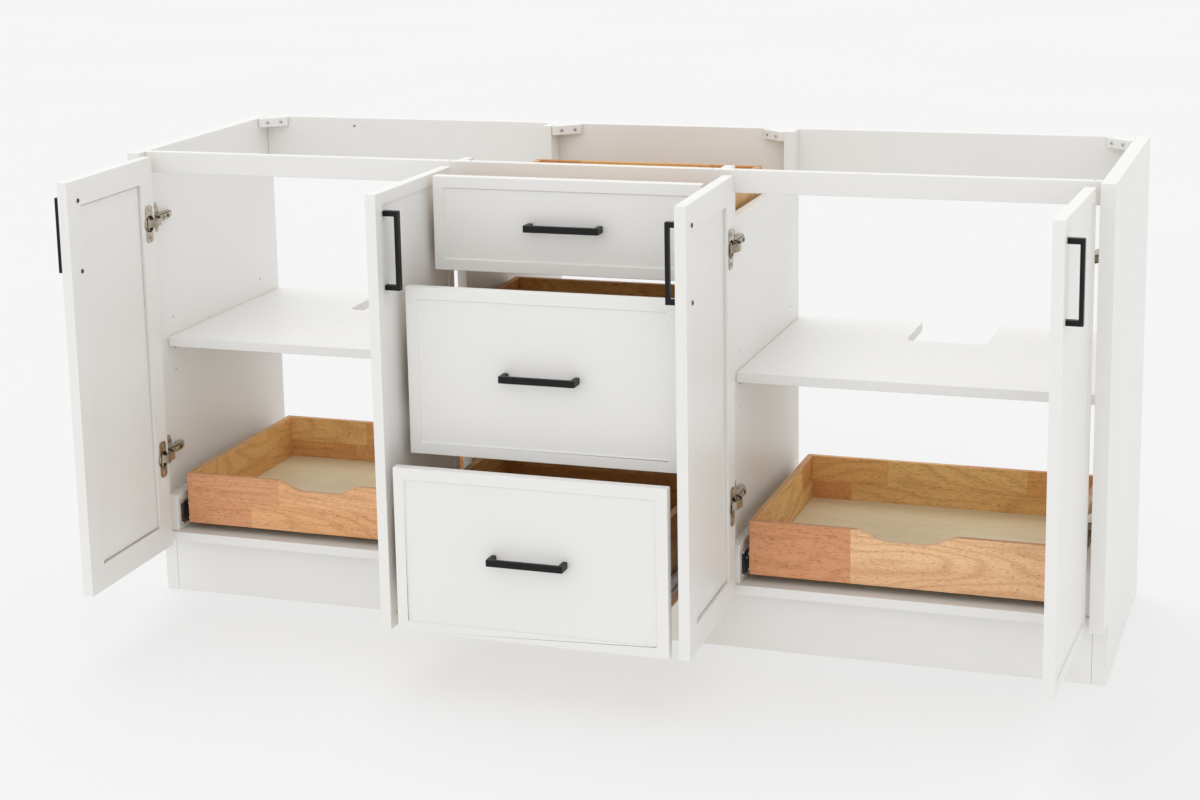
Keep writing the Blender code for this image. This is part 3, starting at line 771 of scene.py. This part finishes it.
def cup_fittings(door, tag, z):
    """Two lugs in the cup with the pins the links turn on, and the two screws of its plate."""
    s = door.s
    x = s * (CUP_EDGE - PIVOT_IN)
    foot, shoulder, crown = INNER_FACE - 0.004, PLATE_FACE + 0.0016, PLATE_FACE + 0.0030
    a, b = sorted((x + s * 0.0042, x + s * 0.0085))
    lug = [(a, foot), (b, foot), (b, shoulder), ((a + b) / 2, crown), (a, shoulder)]
    bm = bmesh.new()
    for low in (z - 0.0125, z + 0.0095):
        prism_into(bm, lug, "z", low, low + LUG_THICK)
    for pin_x, pin_y in ((x + s * 0.0062, PLATE_FACE + 0.0002), (x - s * 0.0010, INNER_FACE - 0.0052)):
        lathe_into(bm, ((0.0016, -0.0125), (0.0016, 0.0125)), (pin_x, pin_y, z), (0, 0, 1), 12)
    bmesh.ops.transform(bm, matrix=door.swing, verts=bm.verts)
    lugs = ease_edges(mesh_object("cup_bridge_" + tag, bm), 0.0004)
    finish_object(lugs, door.body, NICKEL)
    marks = [(door.swing @ Vector((x, PLATE_FACE + 0.0002, z + h)), door.facing) for h in (-0.0262, 0.0262)]
    screws("cup_screws_" + tag, marks, 0.0080, door.body, NICKEL)


def arm_fittings(door, tag, board_x, z):
    """Adjusting screws and cam on the arm's back, wood screws in the plate's wings, two cheeks."""
    s, facing = door.s, (door.s, 0, 0)
    back = board_x + s * 0.0151
    marks = [(Vector((back, FRONT_Y + y, z)), facing) for y in (0.038, 0.058)]
    marks += [(Vector((board_x + s * 0.0026, FRONT_Y + 0.046, z + h)), facing) for h in (-0.0205, 0.0205)]
    screws("arm_screws_" + tag, marks, 0.0078, "case", NICKEL)
    cam = [(Vector((back, FRONT_Y + 0.0725, z)), facing)]
    screws("arm_cam_" + tag, cam, 0.0070, "case", BRASS)
    cheek = [(board_x + s * a, FRONT_Y + b) for a, b in (
        (0.0022, 0.036), (0.0022, 0.094), (0.0075, 0.094), (0.0125, 0.076), (0.0125, 0.032), (0.0090, 0.027),
    )]
    bm = bmesh.new()
    for low in (z - 0.0074, z + 0.0062):
        prism_into(bm, cheek, "z", low, low + CHEEK_THICK)
    cheeks = ease_edges(mesh_object("arm_cheeks_" + tag, bm), 0.0003)
    finish_object(cheeks, "case", NICKEL)


def polar(axis, angle, radius, z=0.0):
    """Point at an angle in degrees and a radius about an upright axis."""
    turn = math.radians(angle)
    return Vector((axis.x + radius * math.cos(turn), axis.y + radius * math.sin(turn), z))


def link_strip(name, axis, start, end, z, half):
    """Swan-neck link bent round the hinge axis; start and end are (angle, radius) about it."""
    bm = bmesh.new()
    steps = 22
    rings = []
    for k in range(steps + 1):
        u = k / steps
        angle, radius = (a + (b - a) * u for a, b in zip(start, end))
        inside = radius - LINK_THICK
        waist = half * (0.80 + 0.20 * abs(2 * u - 1))
        corners = ((inside, -waist), (radius, -waist), (radius, waist), (inside, waist))
        rings.append([bm.verts.new(polar(axis, angle, r, z + h)) for r, h in corners])
    skin_rings(bm, rings)
    return ease_edges(mesh_object(name, bm), 0.0004)


def hinge_links(door, tag, board_x, z):
    """Two swan-neck links from the arm into the cup, bending round the hinge axis."""
    arm_end = Vector((board_x + door.s * 0.0125, FRONT_Y + 0.0315, 0.0)) - door.pivot
    arm_angle = math.degrees(math.atan2(arm_end.y, door.s * arm_end.x))
    for part, rise, half, cup_end in (
        ("outer", 0.0, 0.0080, (-58.0, 0.0300)), ("inner", 0.0046, 0.0052, (-50.0, 0.0248)),
    ):
        start, end = (
            (angle if door.s > 0 else 180.0 - angle, radius)
            for angle, radius in ((arm_angle, arm_end.length - rise), cup_end)
        )
        link = link_strip("link_%s_%s" % (part, tag), door.pivot, start, end, z, half)
        link.data.materials.append(NICKEL)
        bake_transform(link)


def cup_hinge(door, level):
    tag = "%s_%s" % (door.tail, level)
    cup_node, arm_node = "hinge_cup_" + tag, "hinge_arm_" + tag
    eased_copy("cup_" + tag, cup_node, door.body, NICKEL, 0.0004)
    eased_copy("arm_" + tag, arm_node, "case", NICKEL, 0.0009, 3)
    cup_lo, cup_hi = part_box(cup_node)
    z = (cup_lo.z + cup_hi.z) / 2
    arm_lo, arm_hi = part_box(arm_node)
    board_x = arm_lo.x if door.s > 0 else arm_hi.x
    cup_fittings(door, tag, z)
    arm_fittings(door, tag, board_x, z)
    hinge_links(door, tag, board_x, z)


# ---------------------------------------------------------------- floor, light and camera
def studio_floor():
    """Pale floor, partly self-lit so that the shadow under the cabinet stays pale."""
    reach = 14.0
    bm = bmesh.new()
    bmesh.ops.create_grid(bm, x_segments=8, y_segments=8, size=reach)
    floor = mesh_object("studio_floor", bm)
    floor.location = (0.0, 0.0, FLOOR_Z - 0.0005)
    f = Finish("studio_floor", 0.75)
    cloud = f.noise(f.place, 0.6, 2.0)
    f.shader.inputs["Emission Color"].default_value = (1.0, 1.0, 1.0, 1.0)
    f.shader.inputs["Emission Strength"].default_value = 0.59
    tone = f.mix(f.spread(cloud, 0.3, 0.7), (0.278, 0.278, 0.278), (0.284, 0.284, 0.284))
    floor.data.materials.append(f.set(Base_Color=tone, Specular_IOR_Level=0.0))


def sun_light(name, place, strength, spread):
    """Even light over the whole floor, from place towards the origin."""
    data = bpy.data.lights.new(name, "SUN")
    data.energy = strength
    data.angle = math.radians(spread)
    lamp = bpy.data.objects.new(name, data)
    bpy.context.scene.collection.objects.link(lamp)
    lamp.rotation_euler = (-Vector(place)).to_track_quat("-Z", "Y").to_euler()


def studio():
    world = bpy.data.worlds.new("studio")
    world.use_nodes = True
    sky = world.node_tree.nodes["Background"]
    sky.inputs["Color"].default_value = (1.0, 1.0, 1.0, 1.0)
    sky.inputs["Strength"].default_value = 1.0
    bpy.context.scene.world = world
    sun_light("key", (-0.40, 0.45, 1.0), 0.56, 40.0)
    sun_light("front_fill", (0.15, -1.0, 0.30), 0.24, 60.0)
    view = bpy.context.scene.view_settings
    view.view_transform = "Standard"
    view.look = "None"


def camera():
    data = bpy.data.cameras.new("camera")
    data.sensor_width = 36.0
    data.lens = 69.45
    data.shift_x = 0.065
    data.shift_y = -0.0917
    data.clip_end = 100.0
    obj = bpy.data.objects.new("camera", data)
    bpy.context.scene.collection.objects.link(obj)
    stand = Vector((1.3142, -3.8137 + FRONT_Y, 1.5089))
    yaw, pitch, roll = (math.radians(a) for a in (20.625, 11.786, -1.453))
    ahead = Vector((-math.sin(yaw) * math.cos(pitch), math.cos(yaw) * math.cos(pitch), -math.sin(pitch)))
    level = Vector((math.cos(yaw), math.sin(yaw), 0.0))
    over = level.cross(ahead)
    right = math.cos(roll) * level + math.sin(roll) * over
    up = -math.sin(roll) * level + math.cos(roll) * over
    turn = Matrix((right, up, -ahead)).transposed()
    obj.matrix_world = Matrix.Translation(stand) @ turn.to_4x4()
    bpy.context.scene.camera = obj


# ---------------------------------------------------------------- the whole cabinet
case_boards()
drilled_back_rail()
corner_blocks()
rail_top_screws()
for side, s in SIDES:
    shelf_pins(side, s)
side_trays()
drawers()
for level in LEVELS:
    bar_pull("bar_pull_" + level, "pull_drawer_" + level, "drawer_" + level)
drawer_slides()
tray_slides()
for tail, s in DOORS.items():
    door = Door(tail, s)
    grooved_leaf(door)
    bar_pull("bar_pull_" + tail, "pull_door_" + tail, door.body)
    pull_bolts(door)
    for level in ("lower", "upper"):
        cup_hinge(door, level)
bpy.data.objects.remove(SCREW)

studio_floor()
studio()
camera()
